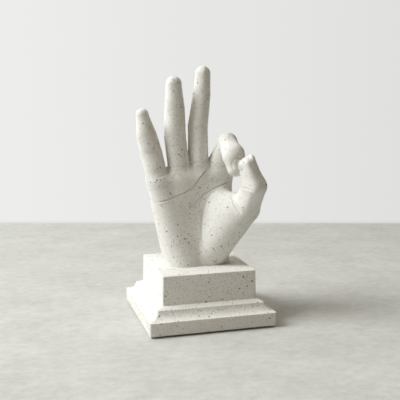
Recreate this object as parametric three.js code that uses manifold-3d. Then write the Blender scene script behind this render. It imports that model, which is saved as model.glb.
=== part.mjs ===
// A right hand with thumb and forefinger closed in a ring, in speckled cast stone, on a stepped plinth.
// Millimetres, +Z up, the palm faces -Y. The origin is under the middle of the felt, where the piece stands.
import * as THREE from "three";
import { mergeVertices } from "three/addons/utils/BufferGeometryUtils.js";
import Module from "manifold-3d";

const wasm = await Module();
wasm.setup();

// Plinth: a moulded foot that carries a die block
const FOOT_WIDTH = 114;
const FOOT_FACE = 12; // upright face of the foot
const FOOT_CORNER = 1.8; // radius of the foot's upright corners
const FOOT_ROUND = 1.2; // rounding along the foot's lower edge
const COVE_HEIGHT = 7.9; // hollow moulding from the foot's face up to the edge of the ledge
const COVE_DEPTH = 1.3; // how far the moulding is hollowed
const COVE_LIP = 0.2; // upright edge under the ledge's rounding
const LEDGE = 6; // ledge left round the die
const LEDGE_FALL = 2.3; // fall of the ledge to its outer edge
const LEDGE_FLAT = 0.4; // level part of it along the die
const LEDGE_ROUND = 1;
const DIE_WIDTH = 85.8; // at its lower edge
const DIE_DRAFT = 0.45; // taper of each side, by which the casting leaves its mould
const DIE_HEIGHT = 26;
const DIE_CORNER = 1.6;
const DIE_ROUND = 0.9; // rounding along the die's upper edge
const ARC_STEPS = 5; // facets in a quarter turn of the mouldings and corners
const QUARTER_TURN = 90;

// Felt under the foot
const FELT_THICKNESS = 1.5;
const FELT_INSET = 4;
const FELT_CORNER = 3;

// Tie rod, its fasteners and the dowels
const CLEARANCE = 0.3; // gap round anything that sits in a bore
const STUD_DIAMETER = 8;
const STUD_IN_WRIST = 24; // length held by the wrist
const STUD_PAST_NUT = 2.5;
const CHAMFER = 0.8; // on the ends of the rod and the dowels
const INSERT_DIAMETER = 13;
const INSERT_FLOOR = 2; // closed inner end of the sleeve
const POCKET_DIAMETER = 28; // pocket under the foot for the nut
const POCKET_SPARE = 1.9; // room left between the rod's end and the felt
const WASHER_DIAMETER = 24;
const WASHER_THICKNESS = 1.6;
const SPRING_DIAMETER = 14.6;
const SPRING_THICKNESS = 2;
const SPRING_SLIT = 1.5;
const NUT_FLATS = 13;
const NUT_HEIGHT = 6.5;
const PIN_DIAMETER = 5;
const PIN_LENGTH = 18; // half of it in each of the two pieces that it lines up
const PIN_OFFSET = 22; // from the rod's axis
const ROUND_SIDES = 32;

// Hand. Heights are from the plane where the wrist is cut; ARM_BELOW is how far the arm is formed below it.
const SKIN_CELL = 3.3; // size of the skin's facets
const ARM_BELOW = 8;

// Bones of the palm and fingers. Each finger has its place at the wrist [x, y], its knuckle [x, y, z] and
// three bones, which start forward of the knuckle. Sway is in the plane of the palm, towards the thumb, and
// curl is towards the palm, one for each bone. Half is half of the finger's width at the knuckle, the two
// joints and the tip. Palm is half the width of the palm's bone, and cap is how far its flesh goes past it.
const FINGERS = {
  little: {
    wrist: [-16.5, 1], knuckle: [-36.6, 2.5, 77], palm: 8.4, cap: 9, forward: 4, bones: [26, 17.3, 18],
    sway: [-13, -15.5, -12], curl: [-2, 5, 6.5], half: [9.6, 9.7, 8.9, 5.6], squareness: 2.1, fillet: 0.6,
  },
  ring: {
    wrist: [-5, 1], knuckle: [-16.2, 2, 79], palm: 15, cap: 12, forward: 4, bones: [37.3, 24, 23],
    sway: [-7, -1, -3], curl: [-1.5, 2.5, 6.5], half: [9.7, 9.7, 9, 7], squareness: 2.2, fillet: 0.6,
  },
  middle: {
    wrist: [7, 1], knuckle: [0.9, 2, 80.5], palm: 15, cap: 14, forward: 4, bones: [44.8, 28.2, 18.7],
    sway: [-0.5, 6.8, 1.5], curl: [-1.5, 2, 6.5], half: [9.3, 9.1, 8, 6.9], squareness: 1.8, fillet: 0.6,
  },
  fore: {
    wrist: [18, 1], knuckle: [20.5, 3, 82], palm: 11.5, cap: 12, forward: 0, bones: [35.9, 20.2, 12.1],
    sway: [3.5, 1.7, -6], curl: [34, 118, 170], half: [10.2, 9.5, 9.2, 7.2], squareness: 2.2, fillet: 2.5,
  },
};
const FINGER_FLATNESS = 0.94; // depth of a finger as a share of its width
const PAD_SWELL = 0.5; // fullness of the pads between the creases of a finger
const RAMP_SHARE = 0.45; // part of the palm's bone over which a finger rises out of the palm
const RAMP_SLIMNESS = 0.7; // width at the start of that rise, as a share of the finger's
const WRIST_FLESH = { side: 12.5, palm: 14, back: 13.5 }; // round each of the palm's bones at the wrist
const KNUCKLE_FLESH = { palm: 12, back: 7.5 }; // in front of and behind them at the knuckles
const THUMB = {
  joints: [[11.5, -3, 3], [37.2, -27.7, 52.7], [39.2, -44.8, 76], [30.4, -49.6, 95.8]],
  nailward: [0.9, -0.1, 0.4], half: [13.5, 11, 10.4, 7.2], flatness: [0.95, 0.95, 0.92, 0.9],
  squareness: [2, 2.8, 2.8],
};

const RIDGE = { share: 0.6, half: [3, 7], rise: [0.1, 1.5] }; // over the back of each palm's bone

// Mounds: wide and deep are half sizes at either end, deep along out, and caps go past the ends
const THENAR = { // muscle of the thumb
  from: [5, -6.5, 8], to: [20, -16.5, 46], wide: [5, 19.5], deep: [7, 13], caps: [10, 22],
  out: [0.78, 0.62, 0],
};
const HEEL = { // below the little finger
  from: [-15, -6, 2], to: [-27, 1, 46], wide: [8, 5], deep: [8, 5], caps: [12, 12], out: [0, 1, 0],
};
const WEB = { // fold between thumb and palm
  from: [22, 0, 55], to: [36, -22, 55], wide: [7.5, 7.5], deep: [7.5, 7.5], caps: [7, 7], out: [0, 1, 0],
};
const CUP = { centre: [-1, -30, 56], half: [20, 19, 30] }; // hollow of the palm

// Fillets where the forms of the hand run into each other; some change with height, from low to high
const PALM_FILLET = 15;
const RIDGE_FILLET = 4;
const CUP_FILLET = 8;
const FINGER_FILLET = { sizes: [6, 2.2], heights: [79, 91] }; // between a finger and the palm
const GAP_FILLET = { sizes: [10, 1.2], heights: [77, 89] }; // between neighbouring fingers
const THENAR_FILLET = { sizes: [3, 10], heights: [46, 62] }; // between the thumb's muscle and the palm
const WEB_FILLET = 6;
const JOINT_FILLET = 2.5; // between the bones of the thumb
const THUMB_FILLET = { sizes: [6, 1], heights: [55, 80] }; // from the thumb's root up to the forefinger

const footTop = FELT_THICKNESS + FOOT_FACE + COVE_HEIGHT + LEDGE_FALL;
const dieTop = footTop + DIE_HEIGHT;
const boreDiameter = STUD_DIAMETER + 2 * CLEARANCE;
const insertLength = STUD_IN_WRIST + CLEARANCE + INSERT_FLOOR;
const pocketDepth = WASHER_THICKNESS + SPRING_THICKNESS + NUT_HEIGHT + STUD_PAST_NUT + POCKET_SPARE;
const washerLow = FELT_THICKNESS + pocketDepth - WASHER_THICKNESS;
const springLow = washerLow - SPRING_THICKNESS;
const nutLow = springLow - NUT_HEIGHT;

const stone = new THREE.MeshStandardMaterial({ color: 0xe4e1d8, roughness: 0.85 });
const felt = new THREE.MeshStandardMaterial({ color: 0x2a2927, roughness: 1 });
const steel = new THREE.MeshStandardMaterial({ color: 0xb9bcc0, roughness: 0.35, metalness: 1 });
const brass = new THREE.MeshStandardMaterial({ color: 0xc9a55a, roughness: 0.35, metalness: 1 });

const { lerp: mix, degToRad, radToDeg, clamp, smoothstep } = THREE.MathUtils;
const vector = (p) => new THREE.Vector3(...p);
const backward = new THREE.Vector3(0, 1, 0); // the way that the back of the hand faces

// A closed geometry as a solid that can be cut
function solid(geometry) {
  const bare = new THREE.BufferGeometry();
  bare.setAttribute("position", geometry.getAttribute("position"));
  bare.setIndex(geometry.getIndex());
  const welded = mergeVertices(bare, 1e-4);
  const vertProperties = new Float32Array(welded.getAttribute("position").array);
  const triVerts = new Uint32Array(welded.getIndex().array);
  return new wasm.Manifold(new wasm.Mesh({ numProp: 3, vertProperties, triVerts }));
}

// A geometry with others cut out of it
function cut(geometry, ...tools) {
  const mesh = tools.reduce((body, tool) => body.subtract(solid(tool)), solid(geometry)).getMesh();
  const result = new THREE.BufferGeometry();
  result.setAttribute("position", new THREE.Float32BufferAttribute(mesh.vertProperties, 3));
  result.setIndex([...mesh.triVerts]);
  return result;
}

// Turned piece about Z, from the [radius, height] points of its half outline
function turned(outline) {
  const points = outline.map(([radius, height]) => new THREE.Vector2(radius, height));
  return new THREE.LatheGeometry(points, ROUND_SIDES).rotateX(Math.PI / 2);
}

function rod(diameter, low, high, chamfer = 0) {
  const radius = diameter / 2;
  const side = [[radius, low + chamfer], [radius, high - chamfer]];
  const ends = chamfer ? [[radius - chamfer, low], ...side, [radius - chamfer, high]] : side;
  return turned([[0, low], ...ends, [0, high]]);
}

function tube(outer, inner, low, high) {
  const corners = [[inner, low], [outer, low], [outer, high], [inner, high], [inner, low]];
  return turned(corners.map(([diameter, height]) => [diameter / 2, height]));
}

// Points of an oval's quarter, from one angle to the other in degrees
function quarter(centre, radii, from, to) {
  return Array.from({ length: ARC_STEPS + 1 }, (_, step) => {
    const angle = degToRad(mix(from, to, step / ARC_STEPS));
    return [centre[0] + Math.cos(angle) * radii[0], centre[1] + Math.sin(angle) * radii[1]];
  });
}

// Points of a shallow hollow from one point to another, sunk to the left of the way that it runs
function hollow(from, to, depth) {
  const run = [to[0] - from[0], to[1] - from[1]];
  const left = [-run[1] / Math.hypot(...run), run[0] / Math.hypot(...run)];
  return Array.from({ length: ARC_STEPS + 1 }, (_, step) => {
    const t = step / ARC_STEPS;
    const sunk = depth * 4 * t * (1 - t);
    return [0, 1].map((n) => mix(from[n], to[n], t) + left[n] * sunk);
  });
}

// Square block with round upright corners, lofted upwards through [half width, height] sections
function block(sections, corner) {
  const ring = [];
  [[1, 1], [-1, 1], [-1, -1], [1, -1]].forEach(([x, y], turn) => {
    const from = turn * QUARTER_TURN;
    for (const arc of quarter([0, 0], [corner, corner], from, from + QUARTER_TURN)) ring.push({ x, y, arc });
  });
  const positions = [];
  for (const [half, height] of sections) {
    const reach = half - corner;
    for (const { x, y, arc } of ring) positions.push(x * reach + arc[0], y * reach + arc[1], height);
  }
  const count = ring.length;
  const low = sections.length * count;
  const last = low - count;
  positions.push(0, 0, sections[0][1], 0, 0, sections.at(-1)[1]);
  const index = [];
  for (let i = 0; i < count; i++) {
    const next = (i + 1) % count;
    for (let row = 0; row < last; row += count) {
      index.push(row + i, row + next, row + count + next, row + i, row + count + next, row + count + i);
    }
    index.push(low, next, i, low + 1, last + i, last + next);
  }
  const geometry = new THREE.BufferGeometry();
  geometry.setAttribute("position", new THREE.Float32BufferAttribute(positions, 3));
  geometry.setIndex(index);
  return geometry;
}

// Distance to the flesh round one bone, closed by round caps. Its section is an oval, squarer for a higher
// squareness, whose half sizes to the side, the palm and the back are given for each share of the length.
function limb(start, end, dorsal, sizes, caps, squareness = 2) {
  const axis = end.clone().sub(start);
  const length = axis.length();
  axis.normalize();
  const out = dorsal.clone().addScaledVector(axis, -dorsal.dot(axis)).normalize();
  const sideways = new THREE.Vector3().crossVectors(axis, out);
  const q = new THREE.Vector3();
  return (p) => {
    q.subVectors(p, start);
    const along = q.dot(axis);
    const t = clamp(along / length, 0, 1);
    const past = along - t * length;
    const depth = q.dot(out);
    const { side, palm, back } = sizes(t);
    const thick = depth > 0 ? back : palm;
    const cap = past > 0 ? caps[1] : caps[0];
    const [u, v, w] = [Math.abs(q.dot(sideways) / side), Math.abs(depth / thick), past / cap];
    const section = (u ** squareness + v ** squareness) ** (2 / squareness);
    const lean = Math.max(section, 1e-9) ** (1 - squareness / 2);
    const ratio = Math.sqrt(section + w * w);
    const rise = [lean * u ** (squareness - 1) / side, lean * v ** (squareness - 1) / thick, w / cap];
    return ratio * (ratio - 1) / Math.max(Math.hypot(...rise), 1e-6);
  };
}

// Joins two distances with a fillet of about the given size
function blend(a, b, fillet) {
  const share = Math.max(fillet - Math.abs(a - b), 0) / fillet;
  return Math.min(a, b) - share * share * fillet / 4;
}

// The size of a fillet at a height
function filletAt({ sizes, heights }, height) {
  return mix(sizes[0], sizes[1], smoothstep(height, heights[0], heights[1]));
}

// A smooth run through a list of sizes, from entry i to the next
function eased(sizes, i, t) {
  const places = [i - 1, i, i + 1, i + 2];
  const [before, first, last, after] = places.map((n) => sizes[clamp(n, 0, sizes.length - 1)]);
  const [leave, arrive] = [(last - before) / 2, (after - first) / 2];
  const turn = t * t * (3 - 2 * t);
  return mix(first, last, turn) + t * (1 - t) * (leave * (1 - t) - arrive * t);
}

function oval(half, flatness, swell = 0) {
  return { side: half, palm: half * flatness + swell, back: half * flatness };
}

function mound({ from, to, wide, deep, caps, out }) {
  const sizes = (t) => {
    const thick = mix(deep[0], deep[1], t);
    return { side: mix(wide[0], wide[1], t), palm: thick, back: thick };
  };
  return limb(vector(from), vector(to), vector(out), sizes, caps);
}

// Joints of a finger from the knuckle to the tip, and the way that its back faces along each bone
function fingerJoints({ knuckle, forward, bones, sway, curl }) {
  const palmward = backward.clone().negate();
  const joints = [vector(knuckle).addScaledVector(palmward, forward)];
  const backs = bones.map((length, i) => {
    const [side, bend] = [degToRad(sway[i]), degToRad(curl[i])];
    const straight = new THREE.Vector3(Math.sin(side), 0, Math.cos(side));
    const along = straight.clone().multiplyScalar(Math.cos(bend)).addScaledVector(palmward, Math.sin(bend));
    joints.push(joints[i].clone().addScaledVector(along, length));
    return straight.multiplyScalar(Math.sin(bend)).addScaledVector(palmward, -Math.cos(bend));
  });
  return { joints, backs };
}

// A finger, with the rise by which it comes out of the palm
function fingerForm(finger) {
  const { half, squareness, fillet } = finger;
  const { joints, backs } = fingerJoints(finger);
  const parts = backs.map((back, i) => {
    const sizes = (t) => oval(eased(half, i, t), FINGER_FLATNESS, PAD_SWELL * Math.sin(Math.PI * t) ** 2);
    return limb(joints[i], joints[i + 1], back, sizes, [half[i], half[i + 1]], squareness);
  });
  const rampStart = vector(finger.knuckle).lerp(vector([...finger.wrist, 0]), RAMP_SHARE);
  const rampSizes = (t) => oval(half[0] * mix(RAMP_SLIMNESS, 1, t), FINGER_FLATNESS);
  parts.push(limb(rampStart, joints[0], backward, rampSizes, [half[0], half[0]], squareness));
  return (p) => parts.map((part) => part(p)).reduce((a, b) => blend(a, b, fillet));
}

function palmForm({ wrist, knuckle, palm, cap }) {
  const sizes = (t) => ({
    side: mix(WRIST_FLESH.side, palm, t),
    palm: mix(WRIST_FLESH.palm, KNUCKLE_FLESH.palm, t),
    back: mix(WRIST_FLESH.back, KNUCKLE_FLESH.back, t),
  });
  return limb(vector([...wrist, -ARM_BELOW]), vector(knuckle), backward, sizes, [WRIST_FLESH.side, cap]);
}

// Ridge over the back of a palm's bone, from part of the way along it to the knuckle
function ridgeForm({ wrist, knuckle }) {
  const { share, half, rise } = RIDGE;
  const [from, to] = [share, 0].map((away, i) => {
    const place = vector(knuckle).lerp(vector([...wrist, -ARM_BELOW]), away);
    const back = mix(KNUCKLE_FLESH.back, WRIST_FLESH.back, away);
    return place.addScaledVector(backward, back + rise[i] - half[i]);
  });
  return mound({ from, to, wide: half, deep: half, caps: half, out: backward });
}

function thumbForms() {
  const { joints, nailward, half, flatness, squareness } = THUMB;
  return squareness.map((power, i) => {
    const sizes = (t) => {
      const deep = mix(half[i] * flatness[i], half[i + 1] * flatness[i + 1], t);
      return { side: mix(half[i], half[i + 1], t), palm: deep, back: deep };
    };
    const caps = [half[i], half[i + 1]];
    return limb(vector(joints[i]), vector(joints[i + 1]), vector(nailward), sizes, caps, power);
  });
}

// Distance to the hand's skin, negative inside
function handField() {
  const palms = [...Object.values(FINGERS).map(palmForm), mound(HEEL)];
  const ridges = Object.values(FINGERS).map(ridgeForm);
  const fingers = Object.values(FINGERS).map(fingerForm);
  const [root, shaft, tip] = thumbForms();
  const thenar = mound(THENAR);
  const web = mound(WEB);
  const cup = (p) => {
    const reach = CUP.centre.map((centre, n) => (p.getComponent(n) - centre) / CUP.half[n]);
    return (Math.hypot(...reach) - 1) * Math.min(...CUP.half);
  };
  return (p) => {
    const slab = palms.map((form) => form(p)).reduce((a, b) => blend(a, b, PALM_FILLET));
    const backed = ridges.map((form) => form(p)).reduce((a, b) => blend(a, b, RIDGE_FILLET), slab);
    const cupped = -blend(-backed, cup(p), CUP_FILLET);
    const ball = blend(blend(root(p), thenar(p), PALM_FILLET), web(p), WEB_FILLET);
    const palm = blend(cupped, ball, filletAt(THENAR_FILLET, p.z));
    const gap = filletAt(GAP_FILLET, p.z);
    const reach = fingers.map((form) => form(p)).reduce((a, b) => blend(a, b, gap));
    const hand = blend(palm, reach, filletAt(FINGER_FILLET, p.z));
    const thumb = blend(shaft(p), tip(p), JOINT_FILLET);
    return blend(hand, thumb, filletAt(THUMB_FILLET, p.z));
  };
}

// A grid cell's corners are numbered by bits 1, 2 and 4 for x, y and z, its edges by lower corner and axis
const axisOfBit = { 1: 0, 2: 1, 4: 2 };
const edgeOf = (a, b) => Math.min(a, b) * 3 + axisOfBit[a ^ b];
const cellCorners = [0, 1].flatMap((c) => [0, 1].flatMap((b) => [0, 1].map((a) => [a, b, c])));
const cellEdges = [1, 2, 4].flatMap((bit) => {
  return cellCorners.map((_, corner) => [corner, corner | bit]).filter(([a, b]) => a !== b);
});
const cellFaces = [[1, 2, 4], [2, 4, 1], [4, 1, 2]].flatMap(([normal, u, w]) =>
  [0, normal].map((base) => [base, base | u, base | u | w, base | w]));

// The middle of each sheet of a surface that crosses a cell, listed by the edges that the sheet cuts. On each
// face the surface joins the edge where it enters a run of inside corners to the edge where it leaves it.
function cellSheets(value) {
  const inside = value.map((v) => v < 0);
  const parent = new Map();
  const top = (edge) => (parent.has(edge) ? top(parent.get(edge)) : edge);
  for (const face of cellFaces) {
    face.forEach((corner, n) => {
      const before = face[(n + 3) % 4];
      if (!inside[corner] || inside[before]) return;
      let end = n;
      while (inside[face[(end + 1) % 4]]) end += 1;
      const [enter, leave] = [top(edgeOf(before, corner)), top(edgeOf(face[end % 4], face[(end + 1) % 4]))];
      if (enter !== leave) parent.set(enter, leave);
    });
  }
  const sheets = new Map();
  for (const [a, b] of cellEdges) {
    if (inside[a] === inside[b]) continue;
    const crossing = vector(cellCorners[a]).lerp(vector(cellCorners[b]), value[a] / (value[a] - value[b]));
    const key = top(edgeOf(a, b));
    const sheet = sheets.get(key) ?? { edges: [], middle: new THREE.Vector3() };
    sheet.edges.push(edgeOf(a, b));
    sheet.middle.add(crossing);
    sheets.set(key, sheet);
  }
  for (const { edges, middle } of sheets.values()) middle.divideScalar(edges.length);
  return [...sheets.values()];
}

// Skin of a field on a grid: a point for each sheet in each cell, and a quad round each grid edge that is cut
function skin(field, low, high, cell) {
  const [nx, ny, nz] = high.clone().sub(low).divideScalar(cell).ceil().addScalar(1).toArray();
  const at = (i, j, k) => i + nx * (j + ny * k);
  const values = new Float32Array(nx * ny * nz);
  const place = (i, j, k) => new THREE.Vector3(i, j, k).multiplyScalar(cell).add(low);
  const visit = (from, action) => {
    for (let k = from; k < nz - 1; k++) {
      for (let j = from; j < ny - 1; j++) {
        for (let i = from; i < nx - 1; i++) action(i, j, k);
      }
    }
  };
  values.fill(Infinity);
  visit(1, (i, j, k) => { values[at(i, j, k)] = field(place(i, j, k)); });

  const points = [];
  const pointOf = new Map();
  visit(1, (i, j, k) => {
    const value = cellCorners.map(([a, b, c]) => values[at(i + a, j + b, k + c)]);
    if (value.every((v) => v < 0 === value[0] < 0)) return;
    for (const { edges, middle } of cellSheets(value)) {
      for (const edge of edges) pointOf.set(at(i, j, k) * 24 + edge, points.length);
      points.push(place(i + middle.x, j + middle.y, k + middle.z));
    }
  });

  const quads = [];
  const units = [[1, 0, 0], [0, 1, 0], [0, 0, 1]];
  visit(2, (i, j, k) => units.forEach((along, axis) => {
    const here = values[at(i, j, k)] < 0;
    if (here === values[at(i + along[0], j + along[1], k + along[2])] < 0) return;
    const [u, w] = [units[(axis + 1) % 3], units[(axis + 2) % 3]];
    const quad = [[0, 0], [1, 0], [1, 1], [0, 1]].map(([a, b]) => {
      const [x, y, z] = [0, 1, 2].map((n) => a * u[n] + b * w[n]);
      const corner = x + 2 * y + 4 * z;
      return pointOf.get(at(i - x, j - y, k - z) * 24 + edgeOf(corner, corner | (1 << axis)));
    });
    quads.push(here ? quad : quad.reverse());
  }));
  return { points, quads };
}

// Draws points onto a field's surface, down its slope
function settle(points, field) {
  const step = 0.05;
  const rounds = 3;
  const near = new THREE.Vector3();
  const slope = new THREE.Vector3();
  for (const p of points) {
    for (let round = 0; round < rounds; round++) {
      const value = field(p);
      for (let n = 0; n < 3; n++) {
        near.copy(p).setComponent(n, p.getComponent(n) + step);
        slope.setComponent(n, (field(near) - value) / step);
      }
      p.addScaledVector(slope, -value / Math.max(slope.lengthSq(), 0.25));
    }
  }
}

// Evens out the facets: each point moves towards the middle of its neighbours, then back onto the surface
function relax({ points, quads }, field, rounds) {
  for (let round = 0; round < rounds; round++) {
    const sums = points.map(() => ({ total: new THREE.Vector3(), count: 0 }));
    for (const quad of quads) {
      quad.forEach((a, n) => {
        for (const b of [quad[(n + 1) % 4], quad[(n + 3) % 4]]) {
          sums[a].total.add(points[b]);
          sums[a].count += 1;
        }
      });
    }
    points.forEach((p, n) => p.lerp(sums[n].total.divideScalar(sums[n].count), 0.6));
    settle(points, field);
  }
}

// Box round the hand. Its grid has a plane midway between ring and middle finger, so that their gap is kept.
function handBox() {
  const margin = 24;
  const reach = Object.values(FINGERS).flatMap((finger) => fingerJoints(finger).joints);
  reach.push(...THUMB.joints.map(vector), vector([0, 0, -ARM_BELOW]));
  const box = new THREE.Box3().setFromPoints(reach).expandByScalar(margin);
  const gap = (fingerJoints(FINGERS.ring).joints[1].x + fingerJoints(FINGERS.middle).joints[1].x) / 2;
  box.min.x = gap - Math.ceil((gap - box.min.x) / SKIN_CELL) * SKIN_CELL;
  return box;
}

function handCasting() {
  const field = handField();
  const { min, max } = handBox();
  const surface = skin(field, min, max, SKIN_CELL);
  settle(surface.points, field);
  relax(surface, field, 3);
  const whole = new THREE.BufferGeometry();
  const positions = surface.points.flatMap((p) => p.toArray());
  whole.setAttribute("position", new THREE.Float32BufferAttribute(positions, 3));
  whole.setIndex(surface.quads.flatMap(([a, b, c, d]) => [a, b, c, a, c, d]));
  const belowWrist = new THREE.BoxGeometry(max.x - min.x, max.y - min.y, -min.z);
  belowWrist.translate((min.x + max.x) / 2, (min.y + max.y) / 2, min.z / 2);
  const socket = rod(INSERT_DIAMETER + 2 * CLEARANCE, -1, insertLength + CLEARANCE);
  return cut(whole, belowWrist, socket, pinHole(0).translate(-PIN_OFFSET, 0, 0));
}

function pinHole(level) {
  const depth = PIN_LENGTH / 2 + CLEARANCE;
  return rod(PIN_DIAMETER + 2 * CLEARANCE, level - depth, level + depth);
}

function pin(level) {
  return rod(PIN_DIAMETER, level - PIN_LENGTH / 2, level + PIN_LENGTH / 2, CHAMFER);
}

function plinthFoot() {
  const half = FOOT_WIDTH / 2;
  const ledgeHalf = DIE_WIDTH / 2 + LEDGE;
  const flatHalf = DIE_WIDTH / 2 + LEDGE_FLAT;
  const slope = radToDeg(Math.atan2(LEDGE_FALL, ledgeHalf - flatHalf));
  const roundLow = footTop - LEDGE_FALL - LEDGE_ROUND * Math.tan(degToRad((QUARTER_TURN - slope) / 2));
  const roundCentre = [ledgeHalf - LEDGE_ROUND, roundLow];
  const sections = [
    ...quarter([half - FOOT_ROUND, FELT_THICKNESS + FOOT_ROUND], [FOOT_ROUND, FOOT_ROUND], -QUARTER_TURN, 0),
    ...hollow([half, FELT_THICKNESS + FOOT_FACE], [ledgeHalf, roundLow - COVE_LIP], COVE_DEPTH),
    ...quarter(roundCentre, [LEDGE_ROUND, LEDGE_ROUND], 0, QUARTER_TURN - slope),
    [flatHalf, footTop],
  ];
  const bore = rod(boreDiameter, 0, footTop + 1);
  const pocket = rod(POCKET_DIAMETER, 0, FELT_THICKNESS + pocketDepth);
  return cut(block(sections, FOOT_CORNER), bore, pocket, pinHole(footTop).translate(PIN_OFFSET, 0, 0));
}

function plinthDie() {
  const half = DIE_WIDTH / 2;
  const topHalf = half - DIE_DRAFT;
  const round = [topHalf - DIE_ROUND, dieTop - DIE_ROUND];
  const sections = [[half, footTop], ...quarter(round, [DIE_ROUND, DIE_ROUND], 0, QUARTER_TURN)];
  const bore = rod(boreDiameter, footTop - 1, dieTop + 1);
  const wristHole = pinHole(dieTop).translate(-PIN_OFFSET, 0, 0);
  const footHole = pinHole(footTop).translate(PIN_OFFSET, 0, 0);
  return cut(block(sections, DIE_CORNER), bore, wristHole, footHole);
}

function feltBase() {
  const half = FOOT_WIDTH / 2 - FELT_INSET;
  return block([[half, 0], [half, FELT_THICKNESS]], FELT_CORNER);
}

// Sleeve with a closed inner end, open at the wrist's underside
function wristInsert() {
  const [bore, outer] = [boreDiameter / 2, INSERT_DIAMETER / 2];
  const floor = dieTop + insertLength - INSERT_FLOOR;
  const end = dieTop + insertLength;
  return turned([[0, floor], [bore, floor], [bore, dieTop], [outer, dieTop], [outer, end], [0, end]]);
}

function springWasher() {
  const ring = tube(SPRING_DIAMETER, boreDiameter, springLow, washerLow);
  const slit = new THREE.BoxGeometry(SPRING_DIAMETER, SPRING_SLIT, 3 * SPRING_THICKNESS);
  return cut(ring, slit.translate(SPRING_DIAMETER / 2, 0, springLow));
}

function clampNut() {
  const corner = NUT_FLATS / Math.sqrt(3);
  const hexagon = new THREE.CylinderGeometry(corner, corner, NUT_HEIGHT, 6);
  hexagon.rotateX(Math.PI / 2).translate(0, 0, nutLow + NUT_HEIGHT / 2);
  return cut(hexagon, rod(boreDiameter, nutLow - 1, springLow + 1));
}

const sculpture = new THREE.Group();
function add(name, geometry, material) {
  const mesh = new THREE.Mesh(geometry, material);
  mesh.name = name;
  sculpture.add(mesh);
  return mesh;
}

add("felt_base", feltBase(), felt);
add("plinth_foot", plinthFoot(), stone);
add("plinth_die", plinthDie(), stone);
add("hand_casting", handCasting(), stone).position.z = dieTop;
add("tie_stud", rod(STUD_DIAMETER, nutLow - STUD_PAST_NUT, dieTop + STUD_IN_WRIST, CHAMFER), steel);
add("wrist_insert", wristInsert(), brass);
add("clamp_washer", tube(WASHER_DIAMETER, boreDiameter, washerLow, washerLow + WASHER_THICKNESS), steel);
add("spring_washer", springWasher(), steel);
add("clamp_nut", clampNut(), steel);
add("wrist_pin", pin(dieTop).translate(-PIN_OFFSET, 0, 0), steel);
add("die_pin", pin(footTop).translate(PIN_OFFSET, 0, 0), steel);

export default sculpture;
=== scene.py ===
# Cast stone hand on a stepped plinth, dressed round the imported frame
import math

import bmesh
import bpy
import numpy as np
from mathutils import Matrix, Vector


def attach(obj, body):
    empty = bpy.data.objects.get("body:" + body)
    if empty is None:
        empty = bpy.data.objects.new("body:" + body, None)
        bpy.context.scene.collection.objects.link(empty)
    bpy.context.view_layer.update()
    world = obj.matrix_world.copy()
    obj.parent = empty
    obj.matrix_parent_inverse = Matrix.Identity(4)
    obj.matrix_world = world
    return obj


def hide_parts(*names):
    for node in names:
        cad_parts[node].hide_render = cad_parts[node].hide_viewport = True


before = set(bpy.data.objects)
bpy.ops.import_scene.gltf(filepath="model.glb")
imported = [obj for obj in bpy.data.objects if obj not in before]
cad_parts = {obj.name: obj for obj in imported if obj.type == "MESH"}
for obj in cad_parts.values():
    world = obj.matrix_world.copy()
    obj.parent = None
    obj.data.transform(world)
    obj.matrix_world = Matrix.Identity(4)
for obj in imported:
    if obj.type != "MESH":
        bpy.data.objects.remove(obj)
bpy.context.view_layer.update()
scene = bpy.context.scene
mm = 0.001
print("frame loaded with", len(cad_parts), "pieces")


def newObject(name, data):
    thing = bpy.data.objects.new(name, data)
    scene.collection.objects.link(thing)
    return thing


# Nodes: inputs maps a socket's name or number to a value or to another node's output
def wire(tree, kind, inputs=None, **settings):
    node = tree.nodes.new(kind)
    for key, value in settings.items():
        setattr(node, key, value)
    for key, value in (inputs or {}).items():
        if isinstance(value, bpy.types.NodeSocket):
            tree.links.new(value, node.inputs[key])
        else:
            node.inputs[key].default_value = value
    return node


def calculate(tree, operation, *values):
    return wire(tree, "ShaderNodeMath", dict(enumerate(values)), operation=operation).outputs[0]


def vectorMath(tree, operation, inputs):
    return wire(tree, "ShaderNodeVectorMath", inputs, operation=operation).outputs[0]


def mapRange(tree, value, before=(0.0, 1.0), after=(0.0, 1.0), **settings):
    return wire(tree, "ShaderNodeMapRange", {
        "Value": value, "From Min": before[0], "From Max": before[1], "To Min": after[0], "To Max": after[1]},
        **settings).outputs[0]


def mixColour(tree, share, first, second, blend="MIX"):
    node = wire(tree, "ShaderNodeMix", {0: share, 6: first, 7: second}, data_type="RGBA", blend_type=blend)
    return node.outputs[2]


# Noise with spots of about the given size in millimetres
def noise(tree, place, size, detail=2.0, roughness=0.5, distortion=0.0):
    return wire(tree, "ShaderNodeTexNoise", {
        "Vector": place, "Scale": 1 / (size * mm), "Detail": detail, "Roughness": roughness,
        "Distortion": distortion}).outputs


def bump(tree, height, strength, depth):
    return wire(tree, "ShaderNodeBump", {
        "Height": height, "Strength": strength, "Distance": depth * mm}).outputs[0]


# An empty material, with its tree and the place on the piece that its patterns follow
def blankMaterial(name):
    material = bpy.data.materials.new(name)
    material.use_nodes = True
    tree = material.node_tree
    tree.nodes.clear()
    return material, tree, wire(tree, "ShaderNodeTexCoord").outputs["Object"]


def closeMaterial(tree, shader):
    wire(tree, "ShaderNodeOutputMaterial", {"Surface": shader.outputs[0]})


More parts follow.
